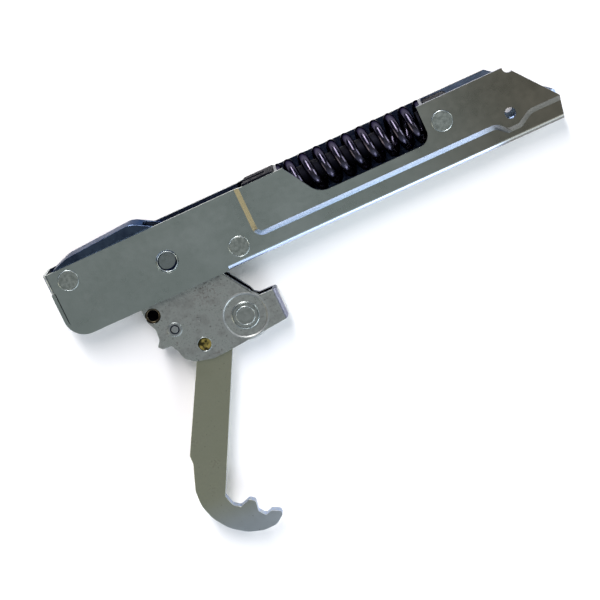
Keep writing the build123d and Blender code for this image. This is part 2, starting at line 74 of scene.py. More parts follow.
class Body(Enum):
    """The moving bodies of the hinge."""

    ARM = "door_arm"
    CLAW = "claw_arm"
    CARRIAGE = "spring_carriage"


class Place:
    """Turns millimetres from the main pivot into the frame's metres."""

    def __init__(self) -> None:
        """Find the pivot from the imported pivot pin."""
        low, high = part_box("main_pivot_pin")
        self.pivot = (low + high) / 2

    def point(self, x: float, y: float, z: float = 0.0) -> Vector:
        """Give the frame point of a place.

        Args:
            x: millimetres along the arm from the pivot.
            y: millimetres across the arm from the pivot.
            z: millimetres above the arm's middle plane.

        Returns:
            The point in metres.
        """
        return self.pivot + Vector((x, y, z)) * MM


class Shader:
    """A material's node tree with short calls for the nodes that the finishes share."""

    def __init__(self, name: str) -> None:
        """Make the material with its shader and output.

        Args:
            name: the material's name.
        """
        self.material = bpy.data.materials.new(name)
        self.material.use_nodes = True
        self.tree = self.material.node_tree
        self.tree.nodes.clear()
        self.output = self.node("ShaderNodeOutputMaterial")
        self.surface = self.node("ShaderNodeBsdfPrincipled")
        self.join(self.surface.outputs["BSDF"], self.output.inputs["Surface"])
        self.coordinates = self.node("ShaderNodeTexCoord").outputs["Object"]

    def node(self, kind: str, **settings: object) -> bpy.types.Node:
        """Add a node and set its options."""
        made = self.tree.nodes.new(kind)
        for key, value in settings.items():
            setattr(made, key, value)
        return made

    def join(self, source: bpy.types.NodeSocket, target: bpy.types.NodeSocket) -> None:
        """Link two sockets."""
        self.tree.links.new(source, target)

    def feed(self, target: bpy.types.NodeSocket, value: object) -> None:
        """Link a socket or write a plain value into it."""
        if isinstance(value, bpy.types.NodeSocket):
            self.join(value, target)
        else:
            target.default_value = value

    def stretched(self, scale: Triple) -> bpy.types.NodeSocket:
        """Give the object coordinates, scaled along each axis."""
        mapping = self.node("ShaderNodeMapping")
        mapping.inputs["Scale"].default_value = scale
        self.join(self.coordinates, mapping.inputs["Vector"])
        return mapping.outputs["Vector"]

    def noise(
        self, scale: float, detail: float = 4.0, vector: bpy.types.NodeSocket | None = None
    ) -> bpy.types.NodeSocket:
        """Give a noise from 0 to 1.

        Args:
            scale: how many patches fit in a metre.
            detail: how many finer octaves are added.
            vector: coordinates, or None for the object's own.

        Returns:
            The noise's factor socket.
        """
        made = self.node("ShaderNodeTexNoise")
        made.inputs["Scale"].default_value = scale
        made.inputs["Detail"].default_value = detail
        self.join(vector or self.coordinates, made.inputs["Vector"])
        return made.outputs["Fac"]

    def steps(
        self, value: bpy.types.NodeSocket, low: float, high: float, bottom: float = 0.0, top: float = 1.0
    ) -> bpy.types.NodeSocket:
        """Map a value smoothly from one range to another.

        Args:
            value: the socket that is mapped.
            low: where the result is at its bottom.
            high: where the result is at its top.
            bottom: the result at low.
            top: the result at high.

        Returns:
            The mapped socket.
        """
        made = self.node("ShaderNodeMapRange", interpolation_type="SMOOTHSTEP")
        made.inputs["From Min"].default_value = low
        made.inputs["From Max"].default_value = high
        made.inputs["To Min"].default_value = bottom
        made.inputs["To Max"].default_value = top
        self.join(value, made.inputs["Value"])
        return made.outputs["Result"]

    def sum(self, kind: str, first: object, second: object) -> bpy.types.NodeSocket:
        """Combine two numbers with a Math node of that kind."""
        made = self.node("ShaderNodeMath", operation=kind)
        self.feed(made.inputs[0], first)
        self.feed(made.inputs[1], second)
        return made.outputs["Value"]

    def blend(self, share: object, first: object, second: object) -> bpy.types.NodeSocket:
        """Mix two colours by a share from 0 to 1."""
        made = self.node("ShaderNodeMix", data_type="RGBA")
        self.feed(made.inputs["Factor"], share)
        self.feed(made.inputs[6], first)
        self.feed(made.inputs[7], second)
        return made.outputs[2]

    def mark(self, name: str) -> bpy.types.NodeSocket:
        """Read a face mark that the piece carries."""
        return self.node("ShaderNodeAttribute", attribute_name=name).outputs["Fac"]

    def distance(self, centre: Vector) -> bpy.types.NodeSocket:
        """Give the distance in metres from a line along z through a point."""
        flat = self.node("ShaderNodeVectorMath", operation="MULTIPLY")
        self.join(self.coordinates, flat.inputs[0])
        flat.inputs[1].default_value = (1, 1, 0)
        apart = self.node("ShaderNodeVectorMath", operation="DISTANCE")
        self.join(flat.outputs["Vector"], apart.inputs[0])
        apart.inputs[1].default_value = (centre.x, centre.y, 0)
        return apart.outputs["Value"]

    def axis(self, letter: str) -> bpy.types.NodeSocket:
        """Give one component of the object coordinates."""
        split = self.node("ShaderNodeSeparateXYZ")
        self.join(self.coordinates, split.inputs["Vector"])
        return split.outputs[letter]

    def bump(self, height: bpy.types.NodeSocket, strength: float, depth: float) -> None:
        """Raise the surface by a height field.

        Args:
            height: the field, from 0 to 1.
            strength: how much of it shows.
            depth: its depth in metres.
        """
        made = self.node("ShaderNodeBump")
        made.inputs["Strength"].default_value = strength
        made.inputs["Distance"].default_value = depth
        self.join(height, made.inputs["Height"])
        self.join(made.outputs["Normal"], self.surface.inputs["Normal"])


def colour(red: float, green: float, blue: float) -> Tone:
    """Give an opaque linear colour from one written in screen values from 0 to 255."""
    return (*((part / 255) ** 2.2 for part in (red, green, blue)), 1.0)


@dataclass(frozen=True)
class Fade:
    """A second tone that comes in along one axis of the piece."""

    tone: Tone
    letter: str
    start: float
    end: float
    strength: float = 1.0


@dataclass(frozen=True)
class Rub:
    """A round rubbed or soiled patch on a piece, in millimetres from the pivot."""

    x: float
    y: float
    radius: float
    strength: float = 0.6
    tone: Tone = colour(70, 66, 62)
    fleck_scale: float = 900.0


@dataclass(frozen=True)
class Marked:
    """The tone of the faces that carry a mark, changing along the arm in millimetres."""

    mark: str
    tone: Tone
    far_tone: Tone
    start: float = 0.0
    end: float = 1.0
    streaks: float = 0.0


@dataclass(frozen=True)
class FaceRule:
    """Which faces carry a mark: spans of their normal, and of their middle in millimetres."""

    mark: str
    normal: tuple[Span, Span, Span]
    middle: tuple[Span, Span, Span] = (ANY, ANY, ANY)

    def fits(self, normal: Vector, middle: Vector) -> bool:
        """Say whether a face with this normal and middle carries the mark."""
        spans = (*self.normal, *self.middle)
        return all(low <= value <= high for value, (low, high) in zip((*normal, *middle), spans))


LEVEL_WITH_WALL: Span = (-0.25, 0.25)
TURNED_TO: Span = (0.5, 1.0)


def side_faces(mark: str, beyond: float) -> tuple[FaceRule, FaceRule]:
    """Give the rules for upright faces further than some level from the middle plane."""
    upright = (ANY, ANY, LEVEL_WITH_WALL)
    return (
        FaceRule(mark, upright, (ANY, ANY, (beyond, math.inf))),
        FaceRule(mark, upright, (ANY, ANY, (-math.inf, -beyond))),
    )


@dataclass(frozen=True)
class PlatedSteel:
    """Zinc-plated sheet or bar: clouded plate, rolling grain, specks, darker sheared edges whose blue tint
    is a painted reflection, and marked faces with painted shade, painted highlights and painted reflections.
    """

    name: str
    plate: Tone
    cloud: Tone
    roughness: float = 0.36
    roughness_spread: float = 0.16
    cloud_scale: float = 55.0
    cloud_share: float = 0.65
    mottle_scale: float = 420.0
    mottle_share: float = 0.35
    tone_span: Span = (0.36, 0.64)
    rough_span: Span = (0.3, 0.7)
    grain_scale: float = 2600.0
    grain_along: str = "X"
    grain_squash: float = 0.06
    grain_height: float = 0.35
    mottle_height: float = 0.65
    speck_scale: float = 1100.0
    speck_from: float = 0.69
    speck_soft: float = 0.05
    speck_cover: float = 0.55
    speck_tone: Tone = colour(66, 66, 60)
    streak_scale: float = 1800.0
    streak_stretch: Triple = (1.0, 1.0, 0.15)
    streak_span: Span = (0.4, 0.62)
    fleck_span: Span = (0.42, 0.66)
    rub_core: float = 0.2
    rub_roughness: float = 0.25
    bump_strength: float = 0.35
    bump_depth: float = 0.00004
    metallic: float = 1.0
    edge_tint: Tone = colour(255, 255, 255)
    marked: tuple[Marked, ...] = ()
    fades: tuple[Fade, ...] = ()
    rubs: tuple[Rub, ...] = ()

    def material(self, place: Place) -> bpy.types.Material:
        """Build the finish.

        Args:
            place: turns the hinge's millimetres into the frame's metres.

        Returns:
            The material.
        """
        shader = Shader(self.name)
        clouds = shader.noise(self.cloud_scale, 5.0)
        mottle = shader.noise(self.mottle_scale, 3.0)
        along = tuple(self.grain_squash if letter == self.grain_along else 1.0 for letter in "XYZ")
        grain = shader.noise(self.grain_scale, 2.0, shader.stretched(along))
        specks = shader.steps(
            shader.noise(self.speck_scale, 2.0), self.speck_from, self.speck_from + self.speck_soft
        )
        shade = shader.sum(
            "ADD",
            shader.sum("MULTIPLY", clouds, self.cloud_share),
            shader.sum("MULTIPLY", mottle, self.mottle_share),
        )
        tone = shader.blend(shader.steps(shade, *self.tone_span), self.plate, self.cloud)
        # Tones that come in along an axis; the arm's is a painted reflection
        for fade in self.fades:
            share = shader.steps(shader.axis(fade.letter), fade.start, fade.end, 0.0, fade.strength)
            tone = shader.blend(share, tone, fade.tone)
        dirt = shader.sum("MULTIPLY", specks, self.speck_cover)
        tone = shader.blend(dirt, tone, self.speck_tone)
        half = self.roughness_spread / 2
        rough = shader.steps(shade, *self.rough_span, self.roughness - half, self.roughness + half)
        for rub in self.rubs:
            share = self.rubbed(shader, rub, place)
            tone = shader.blend(share, tone, rub.tone)
            rough = shader.sum("ADD", rough, shader.sum("MULTIPLY", share, self.rub_roughness))
        streak_noise = shader.noise(self.streak_scale, 2.0, shader.stretched(self.streak_stretch))
        streaks = shader.steps(streak_noise, *self.streak_span)
        # Marked faces: sheared-edge tones, painted shade, painted highlights and painted reflections,
        # changing along the arm
        for part in self.marked:
            start, end = place.point(part.start, 0).x, place.point(part.end, 0).x
            along_arm = shader.steps(shader.axis("X"), start, end)
            marked_tone = shader.blend(along_arm, part.tone, part.far_tone)
            streaked = shader.sum("MULTIPLY", streaks, part.streaks)
            marked_tone = shader.blend(streaked, marked_tone, self.cloud)
            tone = shader.blend(shader.mark(part.mark), tone, marked_tone)
        shader.join(tone, shader.surface.inputs["Base Color"])
        shader.join(rough, shader.surface.inputs["Roughness"])
        shader.surface.inputs["Metallic"].default_value = self.metallic
        shader.surface.inputs["Specular Tint"].default_value = self.edge_tint
        height = shader.sum(
            "ADD",
            shader.sum("MULTIPLY", grain, self.grain_height),
            shader.sum("MULTIPLY", mottle, self.mottle_height),
        )
        shader.bump(height, self.bump_strength, self.bump_depth)
        return shader.material

    def rubbed(self, shader: Shader, rub: Rub, place: Place) -> bpy.types.NodeSocket:
        """Give how much a rubbed patch covers at each point.

        Args:
            shader: the material's node tree.
            rub: the patch.
            place: turns the hinge's millimetres into the frame's metres.

        Returns:
            The cover's socket, from 0 to the patch's strength.
        """
        centre = place.point(rub.x, rub.y)
        near = shader.steps(shader.distance(centre), rub.radius * MM, rub.radius * MM * self.rub_core)
        flecks = shader.steps(shader.noise(rub.fleck_scale, 3.0), *self.fleck_span)
        return shader.sum("MULTIPLY", shader.sum("MULTIPLY", near, flecks), rub.strength)


@dataclass(frozen=True)
class RivetSteel:
    """Upset end of a pin: turned rings, a dark seam near the rim and small dents, with a painted shadow
    crescent and a painted shade ring where they are asked for.
    """

    name: str
    face: Tone
    seam: Tone
    centres: tuple[Span, ...]
    radius: float
    seam_width: float = 0.35
    roughness: float = 0.38
    shadow: Span = (0.0, 0.0)
    shadow_soft: Span = (0.1, 0.25)
    groove: Span = (0.0, 0.0)
    groove_soft: Span = (0.1, 0.15)
    dent_scale: float = 700.0
    dent_span: Span = (0.35, 0.7)
    dent_share: float = 0.35
    rough_span: Span = (0.3, 0.7)
    ring_density: float = 9000.0
    ring_height: float = 0.12
    bump_strength: float = 0.3
    bump_depth: float = 0.00006

    def material(self, place: Place) -> bpy.types.Material:
        """Build the finish.

        Args:
            place: turns the hinge's millimetres into the frame's metres.

        Returns:
            The material.
        """
        shader = Shader(self.name)
        nearest: bpy.types.NodeSocket | None = None
        for x, y in self.centres:
            away = shader.distance(place.point(x, y))
            nearest = away if nearest is None else shader.sum("MINIMUM", nearest, away)
        rim = shader.steps(nearest, (self.radius - self.seam_width) * MM, self.radius * MM)
        if any(self.shadow):
            rim = shader.sum("MAXIMUM", rim, self.shaded(shader, place))
        # Painted shade: a dark ring between two radii of the head
        if any(self.groove):
            rim = shader.sum("MAXIMUM", rim, self.sunk(shader, nearest))
        dents = shader.noise(self.dent_scale, 4.0)
        tone = shader.blend(shader.steps(dents, *self.dent_span), self.face, self.seam)
        faint = shader.blend(self.dent_share, self.face, tone)
        shader.join(shader.blend(rim, faint, self.seam), shader.surface.inputs["Base Color"])
        rings = shader.node("ShaderNodeMath", operation="SINE")
        shader.join(shader.sum("MULTIPLY", nearest, self.ring_density), rings.inputs[0])
        worn = shader.sum("ADD", shader.sum("MULTIPLY", rings.outputs["Value"], self.ring_height), dents)
        rough = shader.steps(dents, *self.rough_span, self.roughness - 0.06, self.roughness + 0.08)
        shader.join(rough, shader.surface.inputs["Roughness"])
        shader.surface.inputs["Metallic"].default_value = 1.0
        shader.bump(worn, self.bump_strength, self.bump_depth)
        return shader.material

    def shaded(self, shader: Shader, place: Place) -> bpy.types.NodeSocket:
        """Give the dark crescent that a sunk end shows along one side."""
        x, y = self.centres[0]
        moved = shader.distance(place.point(x + self.shadow[0], y + self.shadow[1]))
        before, after = self.shadow_soft
        return shader.steps(moved, (self.radius - before) * MM, (self.radius + after) * MM)

    def sunk(self, shader: Shader, nearest: bpy.types.NodeSocket) -> bpy.types.NodeSocket:
        """Give the painted shade ring, dark between two radii of a head."""
        inner, outer = self.groove
        soft_inner, soft_outer = self.groove_soft
        outside = shader.steps(nearest, (inner - soft_inner) * MM, (inner + soft_inner) * MM)
        inside = shader.steps(nearest, (outer + soft_outer) * MM, (outer - soft_outer) * MM)
        return shader.sum("MULTIPLY", outside, inside)


@dataclass(frozen=True)
class CoatedWire:
    """Glossy black coating on spring wire, with a fine orange peel and a few thin spots."""

    name: str
    coat: Tone
    thin: Tone
    roughness: float = 0.2
    edge_tint: Tone = colour(84, 84, 96)
    peel_scale: float = 900.0
    patch_scale: float = 160.0
    patch_span: Span = (0.45, 0.72)
    bump_strength: float = 0.2
    bump_depth: float = 0.00005

    def material(self, place: Place) -> bpy.types.Material:
        """Build the finish.

        Args:
            place: not used here, given to every finish alike.

        Returns:
            The material.
        """
        shader = Shader(self.name)
        peel = shader.noise(self.peel_scale, 3.0)
        patches = shader.steps(shader.noise(self.patch_scale, 4.0), *self.patch_span)
        shader.join(shader.blend(patches, self.coat, self.thin), shader.surface.inputs["Base Color"])
        rough = shader.steps(peel, 0.3, 0.7, self.roughness - 0.06, self.roughness + 0.1)
        shader.join(rough, shader.surface.inputs["Roughness"])
        shader.surface.inputs["Metallic"].default_value = 1.0
        shader.surface.inputs["Specular Tint"].default_value = self.edge_tint
        shader.bump(peel, self.bump_strength, self.bump_depth)
        return shader.material


@dataclass(frozen=True)
class GreasedBrass:
    """Yellow passivated pin end under a film of dark grease."""

    name: str
    metal: Tone = colour(176, 158, 84)
    grease: Tone = colour(62, 56, 22)
    smear_scale: float = 520.0
    film_span: Span = (0.38, 0.6)
    dry_roughness: float = 0.42
    wet_roughness: float = 0.2
    bump_strength: float = 0.6
    bump_depth: float = 0.00012

    def material(self, place: Place) -> bpy.types.Material:
        """Build the finish.

        Args:
            place: not used here, given to every finish alike.

        Returns:
            The material.
        """
        shader = Shader(self.name)
        smear = shader.noise(self.smear_scale, 4.0)
        film = shader.steps(smear, *self.film_span)
        shader.join(shader.blend(film, self.metal, self.grease), shader.surface.inputs["Base Color"])
        wetness = shader.steps(smear, 0.35, 0.65, self.dry_roughness, self.wet_roughness)
        shader.join(wetness, shader.surface.inputs["Roughness"])
        shader.surface.inputs["Metallic"].default_value = 0.8
        shader.surface.inputs["Coat Weight"].default_value = 0.5
        shader.bump(smear, self.bump_strength, self.bump_depth)
        return shader.material


Finish = PlatedSteel | RivetSteel | CoatedWire | GreasedBrass


@dataclass
class SheetPiece:
    """A sheet or bar part: a merged copy of its solid with broken edges and face marks."""

    node: str
    body: Body
    slot: str
    finish: Finish
    edge: float = 0.18
    rules: tuple[FaceRule, ...] = ()
    sharp_angle: float = 32.0
    flat_angle: float = 0.6
    join_distance: float = 2e-6
    edge_segments: int = 2
    normal_weight: int = 60

    def build(self, place: Place) -> bpy.types.Object:
        """Make the piece in place of its solid.

        Args:
            place: turns the hinge's millimetres into the frame's metres.

        Returns:
            The finished object, riding on its body.
        """
        name = self.node + "_dressed"
        rough = bpy.data.objects.new(name + "_rough", self.merged())
        bpy.context.scene.collection.objects.link(rough)
        self.add_edges(rough)
        depsgraph = bpy.context.evaluated_depsgraph_get()
        mesh = bpy.data.meshes.new_from_object(rough.evaluated_get(depsgraph))
        bpy.data.objects.remove(rough)
        mesh.name = name
        piece = bpy.data.objects.new(name, mesh)
        bpy.context.scene.collection.objects.link(piece)
        self.add_marks(mesh, place)
        mesh.materials.clear()
        mesh.materials.append(self.finish.material(place))
        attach(piece, self.body.value)
        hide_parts(self.node)
        LOG.info("%s: %d faces", name, len(mesh.polygons))
        return piece

    def merged(self) -> bpy.types.Mesh:
        """Give a copy of the solid's mesh with its loose triangles joined and its flats cleaned."""
        mesh = frame["nodes"][self.node].data.copy()
        mesh.name = self.node + "_copy"
        work = bmesh.new()
        work.from_mesh(mesh)
        bmesh.ops.remove_doubles(work, verts=work.verts, dist=self.join_distance)
        flat = math.radians(self.flat_angle)
        bmesh.ops.dissolve_limit(
            work, angle_limit=flat, verts=work.verts, edges=work.edges, delimit={"NORMAL"}
        )
        work.to_mesh(mesh)
        work.free()
        return mesh

    def add_edges(self, rough: bpy.types.Object) -> None:
        """Break the sharp edges and smooth the shading."""
        for polygon in rough.data.polygons:
            polygon.use_smooth = True
        bevel = rough.modifiers.new("edges", "BEVEL")
        bevel.width = self.edge * MM
        bevel.segments = self.edge_segments
        bevel.limit_method = "ANGLE"
        bevel.angle_limit = math.radians(self.sharp_angle)
        bevel.use_clamp_overlap = True
        bevel.harden_normals = False
        normals = rough.modifiers.new("shading", "WEIGHTED_NORMAL")
        normals.keep_sharp = True
        normals.weight = self.normal_weight

    def add_marks(self, mesh: bpy.types.Mesh, place: Place) -> None:
        """Mark the faces that the rules name, for the finish to read."""
        for mark in sorted({rule.mark for rule in self.rules}):
            rules = [rule for rule in self.rules if rule.mark == mark]
            values = mesh.attributes.new(mark, "FLOAT", "FACE").data
            for index, polygon in enumerate(mesh.polygons):
                middle = (polygon.center - place.pivot) / MM
                values[index].value = float(any(rule.fits(polygon.normal, middle) for rule in rules))


@dataclass
class PlainNode:
    """A solid that shows as it is, with its own finish."""

    node: str
    finish: Finish

    def build(self, place: Place) -> bpy.types.Object:
        """Give the solid its finish."""
        shown = frame["nodes"][self.node]
        material = self.finish.material(place)
        if not shown.material_slots:
            shown.data.materials.append(material)
        for slot in shown.material_slots:
            slot.material = material
        LOG.info("%s: kept as it is", self.node)
        return shown


def grown(name: str, tree: bpy.types.GeometryNodeTree, values: dict[str, object]) -> bpy.types.Object:
    """Run a Geometry Nodes tree once and keep what it makes.

    Args:
        name: the new object's name.
        tree: the tree.
        values: its inputs by their names.

    Returns:
        An object with the finished mesh and no modifier.
    """
    holder = bpy.data.objects.new(name + "_holder", bpy.data.meshes.new(name + "_holder"))
    bpy.context.scene.collection.objects.link(holder)
    modifier = holder.modifiers.new("growth", "NODES")
    modifier.node_group = tree
    for socket in tree.interface.items_tree:
        if socket.in_out == "INPUT" and socket.name in values:
            modifier[socket.identifier] = values[socket.name]
    depsgraph = bpy.context.evaluated_depsgraph_get()
    mesh = bpy.data.meshes.new_from_object(holder.evaluated_get(depsgraph))
    bpy.data.objects.remove(holder)
    mesh.name = name
    piece = bpy.data.objects.new(name, mesh)
    bpy.context.scene.collection.objects.link(piece)
    return piece


@dataclass
class Coil:
    """The compression spring: one wire wound at a constant pitch, its ends ground flat."""

    finish: CoatedWire
    wire_radius: float = 2.0
    pitch: float = 6.5
    steps_per_turn: int = 64
    sides: int = 20
    keep: float = field(init=False, default=1.0)

    def tree(self) -> bpy.types.GeometryNodeTree:
        """Build the node tree that winds the wire."""
        tree = bpy.data.node_groups.new("wound_wire", "GeometryNodeTree")
        face = tree.interface
        face.new_socket(name="Geometry", in_out="INPUT", socket_type="NodeSocketGeometry")
        for label in ("Left", "Right", "Axis Y", "Axis Z", "Coil Radius", "Wire Radius", "Pitch"):
            face.new_socket(name=label, in_out="INPUT", socket_type="NodeSocketFloat")
        for label in ("Steps per Turn", "Points", "Sides"):
            face.new_socket(name=label, in_out="INPUT", socket_type="NodeSocketInt")
        face.new_socket(name="Wire Finish", in_out="INPUT", socket_type="NodeSocketMaterial")
        face.new_socket(name="Geometry", in_out="OUTPUT", socket_type="NodeSocketGeometry")
        given = tree.nodes.new("NodeGroupInput").outputs
        result = tree.nodes.new("NodeGroupOutput")

        def link(source: bpy.types.NodeSocket, target: bpy.types.NodeSocket) -> None:
            tree.links.new(source, target)

        def maths(kind: str, *values: object) -> bpy.types.NodeSocket:
            made = tree.nodes.new("ShaderNodeMath")
            made.operation = kind
            for socket, value in zip(made.inputs, values):
                if isinstance(value, bpy.types.NodeSocket):
                    link(value, socket)
                else:
                    socket.default_value = value
            return made.outputs["Value"]

        line = tree.nodes.new("GeometryNodeMeshLine")
        link(given["Points"], line.inputs["Count"])
        index = tree.nodes.new("GeometryNodeInputIndex").outputs["Index"]
        angle = maths("MULTIPLY", maths("DIVIDE", index, given["Steps per Turn"]), math.tau)
        travel = maths("DIVIDE", maths("SUBTRACT", angle, math.pi), math.tau)
        along = maths("ADD", given["Left"], maths("MULTIPLY", travel, given["Pitch"]))
        along = maths("MINIMUM", maths("MAXIMUM", along, given["Left"]), given["Right"])
        sideways = maths("MULTIPLY", maths("SINE", angle), given["Coil Radius"])
        downward = maths("MULTIPLY", maths("COSINE", angle), given["Coil Radius"])
        across = maths("ADD", given["Axis Y"], sideways)
        upward = maths("SUBTRACT", given["Axis Z"], downward)
        point = tree.nodes.new("ShaderNodeCombineXYZ")
        for socket, value in zip(point.inputs, (along, across, upward)):
            link(value, socket)
        wound = tree.nodes.new("GeometryNodeSetPosition")
        link(line.outputs["Mesh"], wound.inputs["Geometry"])
        link(point.outputs["Vector"], wound.inputs["Position"])
        curve = tree.nodes.new("GeometryNodeMeshToCurve")
        link(wound.outputs["Geometry"], curve.inputs["Mesh"])
        ring = tree.nodes.new("GeometryNodeCurvePrimitiveCircle")
        link(given["Wire Radius"], ring.inputs["Radius"])
        link(given["Sides"], ring.inputs["Resolution"])
        wire = tree.nodes.new("GeometryNodeCurveToMesh")
        link(curve.outputs["Curve"], wire.inputs["Curve"])
        link(ring.outputs["Curve"], wire.inputs["Profile Curve"])
        wire.inputs["Fill Caps"].default_value = True
        where = tree.nodes.new("ShaderNodeSeparateXYZ")
        link(tree.nodes.new("GeometryNodeInputPosition").outputs["Position"], where.inputs["Vector"])
        held = maths("MINIMUM", maths("MAXIMUM", where.outputs["X"], given["Left"]), given["Right"])
        ground_point = tree.nodes.new("ShaderNodeCombineXYZ")
        for socket, value in zip(ground_point.inputs, (held, where.outputs["Y"], where.outputs["Z"])):
            link(value, socket)
        ground = tree.nodes.new("GeometryNodeSetPosition")
        link(wire.outputs["Mesh"], ground.inputs["Geometry"])
        link(ground_point.outputs["Vector"], ground.inputs["Position"])
        smooth = tree.nodes.new("GeometryNodeSetShadeSmooth")
        link(ground.outputs["Geometry"], smooth.inputs["Geometry"])
        realized = tree.nodes.new("GeometryNodeRealizeInstances")
        link(smooth.outputs["Geometry"], realized.inputs["Geometry"])
        coated = tree.nodes.new("GeometryNodeSetMaterial")
        link(realized.outputs["Geometry"], coated.inputs["Geometry"])
        link(given["Wire Finish"], coated.inputs["Material"])
        link(coated.outputs["Geometry"], result.inputs["Geometry"])
        return tree

    def build(self, place: Place) -> bpy.types.Object:
        """Wind the spring between its two washers.

        Args:
            place: turns the hinge's millimetres into the frame's metres.

        Returns:
            The finished spring, riding on the arm; the share of its length kept at the carriage's full slide
            is worked out but not applied.
        """
        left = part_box("moving_seat_washer")[1].x
        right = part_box("end_seat_washer")[0].x
        low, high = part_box("spring")
        outer = (high.y - low.y) / 2
        turns = (right - left) / (self.pitch * MM) + 1
        values = {
            "Left": left, "Right": right, "Axis Y": (low.y + high.y) / 2, "Axis Z": (low.z + high.z) / 2,
            "Coil Radius": outer - self.wire_radius * MM, "Wire Radius": self.wire_radius * MM,
            "Pitch": self.pitch * MM, "Steps per Turn": self.steps_per_turn,
            "Points": int(turns * self.steps_per_turn) + 1, "Sides": self.sides,
            "Wire Finish": self.finish.material(place),
        }
        piece = grown("spring_coil", self.tree(), values)
        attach(piece, Body.ARM.value)
        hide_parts("spring")
        slide = next(joint for joint in frame["joints"] if joint["name"] == "carriage_slide")
        self.keep = 1 - slide["range_m"][1] / (right - left)
        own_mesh(piece)
        LOG.info("spring_coil: %.1f turns, %d faces", turns, len(piece.data.polygons))
        return piece


@dataclass
class SeamRing:
    """The raised lip around a riveted end: a thin ring swept along a circle."""

    name: str
    body: Body
    centre: Triple
    radius: float
    finish: PlatedSteel
    lip: float = 0.2
    steps_round: int = 96
    sides: int = 12

    def tree(self) -> bpy.types.GeometryNodeTree:
        """Build the node tree that sweeps the lip."""
        tree = bpy.data.node_groups.new("seam_ring", "GeometryNodeTree")
        face = tree.interface
        face.new_socket(name="Geometry", in_out="INPUT", socket_type="NodeSocketGeometry")
        face.new_socket(name="Centre", in_out="INPUT", socket_type="NodeSocketVector")
        face.new_socket(name="Ring Radius", in_out="INPUT", socket_type="NodeSocketFloat")
        face.new_socket(name="Lip Radius", in_out="INPUT", socket_type="NodeSocketFloat")
        face.new_socket(name="Steps Round", in_out="INPUT", socket_type="NodeSocketInt")
        face.new_socket(name="Sides", in_out="INPUT", socket_type="NodeSocketInt")
        face.new_socket(name="Lip Finish", in_out="INPUT", socket_type="NodeSocketMaterial")
        face.new_socket(name="Geometry", in_out="OUTPUT", socket_type="NodeSocketGeometry")
        given = tree.nodes.new("NodeGroupInput").outputs
        result = tree.nodes.new("NodeGroupOutput")
        circle = tree.nodes.new("GeometryNodeCurvePrimitiveCircle")
        tree.links.new(given["Ring Radius"], circle.inputs["Radius"])
        tree.links.new(given["Steps Round"], circle.inputs["Resolution"])
        profile = tree.nodes.new("GeometryNodeCurvePrimitiveCircle")
        tree.links.new(given["Lip Radius"], profile.inputs["Radius"])
        tree.links.new(given["Sides"], profile.inputs["Resolution"])
        sweep = tree.nodes.new("GeometryNodeCurveToMesh")
        tree.links.new(circle.outputs["Curve"], sweep.inputs["Curve"])
        tree.links.new(profile.outputs["Curve"], sweep.inputs["Profile Curve"])
        moved = tree.nodes.new("GeometryNodeTransform")
        tree.links.new(sweep.outputs["Mesh"], moved.inputs["Geometry"])
        tree.links.new(given["Centre"], moved.inputs["Translation"])
        smooth = tree.nodes.new("GeometryNodeSetShadeSmooth")
        tree.links.new(moved.outputs["Geometry"], smooth.inputs["Geometry"])
        realized = tree.nodes.new("GeometryNodeRealizeInstances")
        tree.links.new(smooth.outputs["Geometry"], realized.inputs["Geometry"])
        coated = tree.nodes.new("GeometryNodeSetMaterial")
        tree.links.new(realized.outputs["Geometry"], coated.inputs["Geometry"])
        tree.links.new(given["Lip Finish"], coated.inputs["Material"])
        tree.links.new(coated.outputs["Geometry"], result.inputs["Geometry"])
        return tree

    def build(self, place: Place) -> bpy.types.Object:
        """Make the ring.

        Args:
            place: turns the hinge's millimetres into the frame's metres.

        Returns:
            The finished ring, riding on its body.
        """
        values = {
            "Centre": place.point(*self.centre), "Ring Radius": self.radius * MM,
            "Lip Radius": self.lip * MM, "Steps Round": self.steps_round, "Sides": self.sides,
            "Lip Finish": self.finish.material(place),
        }
        piece = grown(self.name, self.tree(), values)
        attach(piece, self.body.value)
        LOG.info("%s: %d faces", self.name, len(piece.data.polygons))
        return piece


# Face marks: spans of a face's normal, then of its middle in millimetres from the pivot
BRACKET_RULES = (
    *side_faces("cut", 2.4),
    FaceRule("cut", (ANY, TURNED_TO, LEVEL_WITH_WALL)),
    # Upright faces round the retaining hole, and every up-facing face between -4 and 0 mm, which carry
    # painted shade
    FaceRule("bore", (ANY, ANY, LEVEL_WITH_WALL), ((-20.0, -12.4), (-22.8, -15.2), ANY)),
    FaceRule("bore", (ANY, ANY, TURNED_TO), (ANY, ANY, (-4.0, 0.0))),
    FaceRule("bend", ((0.25, 0.97), ANY, (0.15, 1.0)), ((33.0, math.inf), ANY, ANY)),
)
ARM_RULES = (
    *side_faces("cut", 6.9),
    # Left-facing step faces, which carry a painted reflection of warm light
    FaceRule("warm", ((-1.0, -0.35), ANY, (0.3, 1.0)), ((34.0, 46.0), ANY, ANY)),
    # Down-facing slope faces, which carry a painted highlight
    FaceRule("slope", (ANY, (-1.0, -0.3), (0.3, 1.0)), (ANY, ANY, (7.0, math.inf))),
    # Inner back wall of the channel, which carries painted shade
    FaceRule("hollow", (ANY, ANY, TURNED_TO), (ANY, ANY, (-math.inf, -5.0))),
    FaceRule("end", ((-1.0, -0.2), ANY, ANY), ((-math.inf, -40.0), ANY, ANY)),
)

